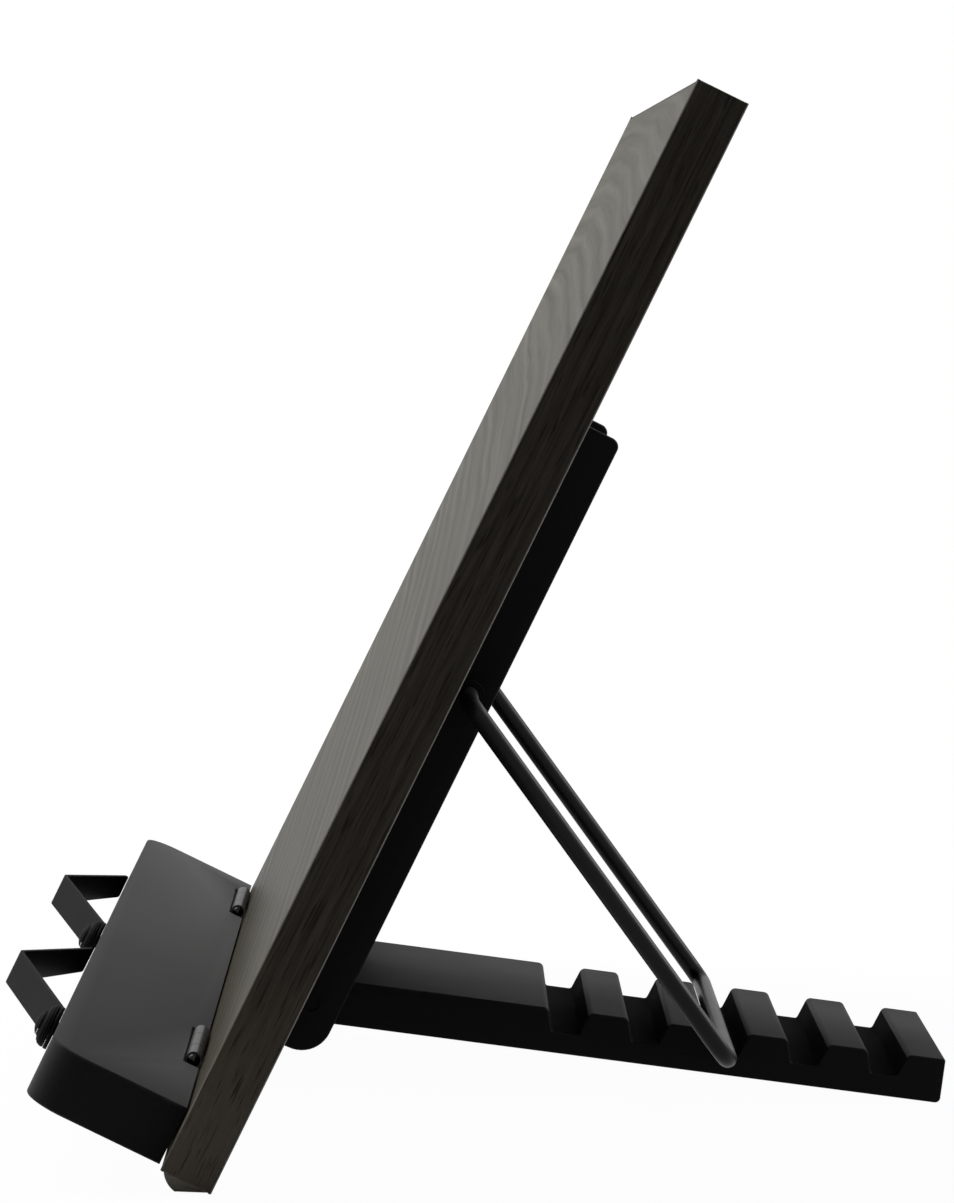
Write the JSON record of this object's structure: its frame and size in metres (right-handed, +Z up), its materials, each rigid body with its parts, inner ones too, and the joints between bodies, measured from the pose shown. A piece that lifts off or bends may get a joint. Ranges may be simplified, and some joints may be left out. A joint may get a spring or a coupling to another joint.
{
  "type": "book display stand",
  "caption": "Folding reading stand: a wood-grain board leans on a notched rear foot and a wire strut, with a hinged front ledge and sprung page holders.",
  "frame": {"origin": "on the ground, under the middle of the stand's box", "axes": "+X across the board to the reader's right, +Y from the reader to the back, +Z up"},
  "size_m": [0.34, 0.2102, 0.224],
  "materials": {
    "fibreboard": "raw",
    "oak_laminate": "matt, oak grain",
    "edge_band": "matt, oak grain",
    "rubber": "matt",
    "black_plastic": "satin",
    "ledge_plastic": "fine matt",
    "zinc_steel": "dull",
    "hinge_steel": "bright",
    "black_wire": "satin",
    "black_strip": "satin",
    "brass": "plain"
  },
  "bodies": {
    "board": {"board_core": "fibreboard", "front_laminate": "oak_laminate", "back_laminate": "oak_laminate", "edge_band_left": "edge_band", "edge_band_right": "edge_band", "edge_band_top": "edge_band", "edge_band_bottom": "edge_band", "rubber_foot_left": "rubber", "rubber_foot_right": "rubber", "back_housing": "black_plastic", "housing_screws": "zinc_steel", "ear_screw": "zinc_steel", "foot_hinge_pin": "black_wire", "board_leaf_left": "hinge_steel", "board_leaf_right": "hinge_steel", "hinge_pin_left": "zinc_steel", "hinge_pin_right": "zinc_steel", "board_leaf_screws": "zinc_steel"},
    "foot": {"rear_foot": "black_plastic"},
    "strut": {"strut": "black_wire"},
    "ledge": {"ledge": "ledge_plastic", "ledge_leaf_left": "hinge_steel", "ledge_leaf_right": "hinge_steel", "ledge_leaf_screws": "zinc_steel", "holder_spring_1": "black_strip", "holder_spring_2": "black_strip", "holder_post_1": "black_strip", "holder_post_2": "black_strip", "ledge_insert_1": "brass", "ledge_insert_2": "brass"},
    "holder_1": {"holder_arm_1": "black_strip"},
    "holder_2": {"holder_arm_2": "black_strip"}
  },
  "joints": [
    {"name": "foot_hinge", "type": "hinge", "parent": "board", "child": "foot", "pos_m": [0, -0.03871, 0.01829], "axis": [-1, 0, 0], "range_deg": [0, 29]},
    {"name": "strut_swing", "type": "hinge", "parent": "board", "child": "strut", "pos_m": [0, -0.00596, 0.0891], "axis": [1, 0, 0], "range_deg": [0, 120]},
    {"name": "ledge_fold", "type": "hinge", "parent": "board", "child": "ledge", "pos_m": [0, -0.06123, 0.01735], "axis": [-1, 0, 0], "range_deg": [0, 90]},
    {"name": "holder_1_swing", "type": "hinge", "parent": "ledge", "child": "holder_1", "pos_m": [0.112, -0.09033, 0.02239], "axis": [0, -0.914, 0.4057], "range_deg": [-90, 0]},
    {"name": "holder_2_swing", "type": "hinge", "parent": "ledge", "child": "holder_2", "pos_m": [-0.013, -0.09033, 0.02239], "axis": [0, -0.914, 0.4057], "range_deg": [-90, 0]}
  ]
}
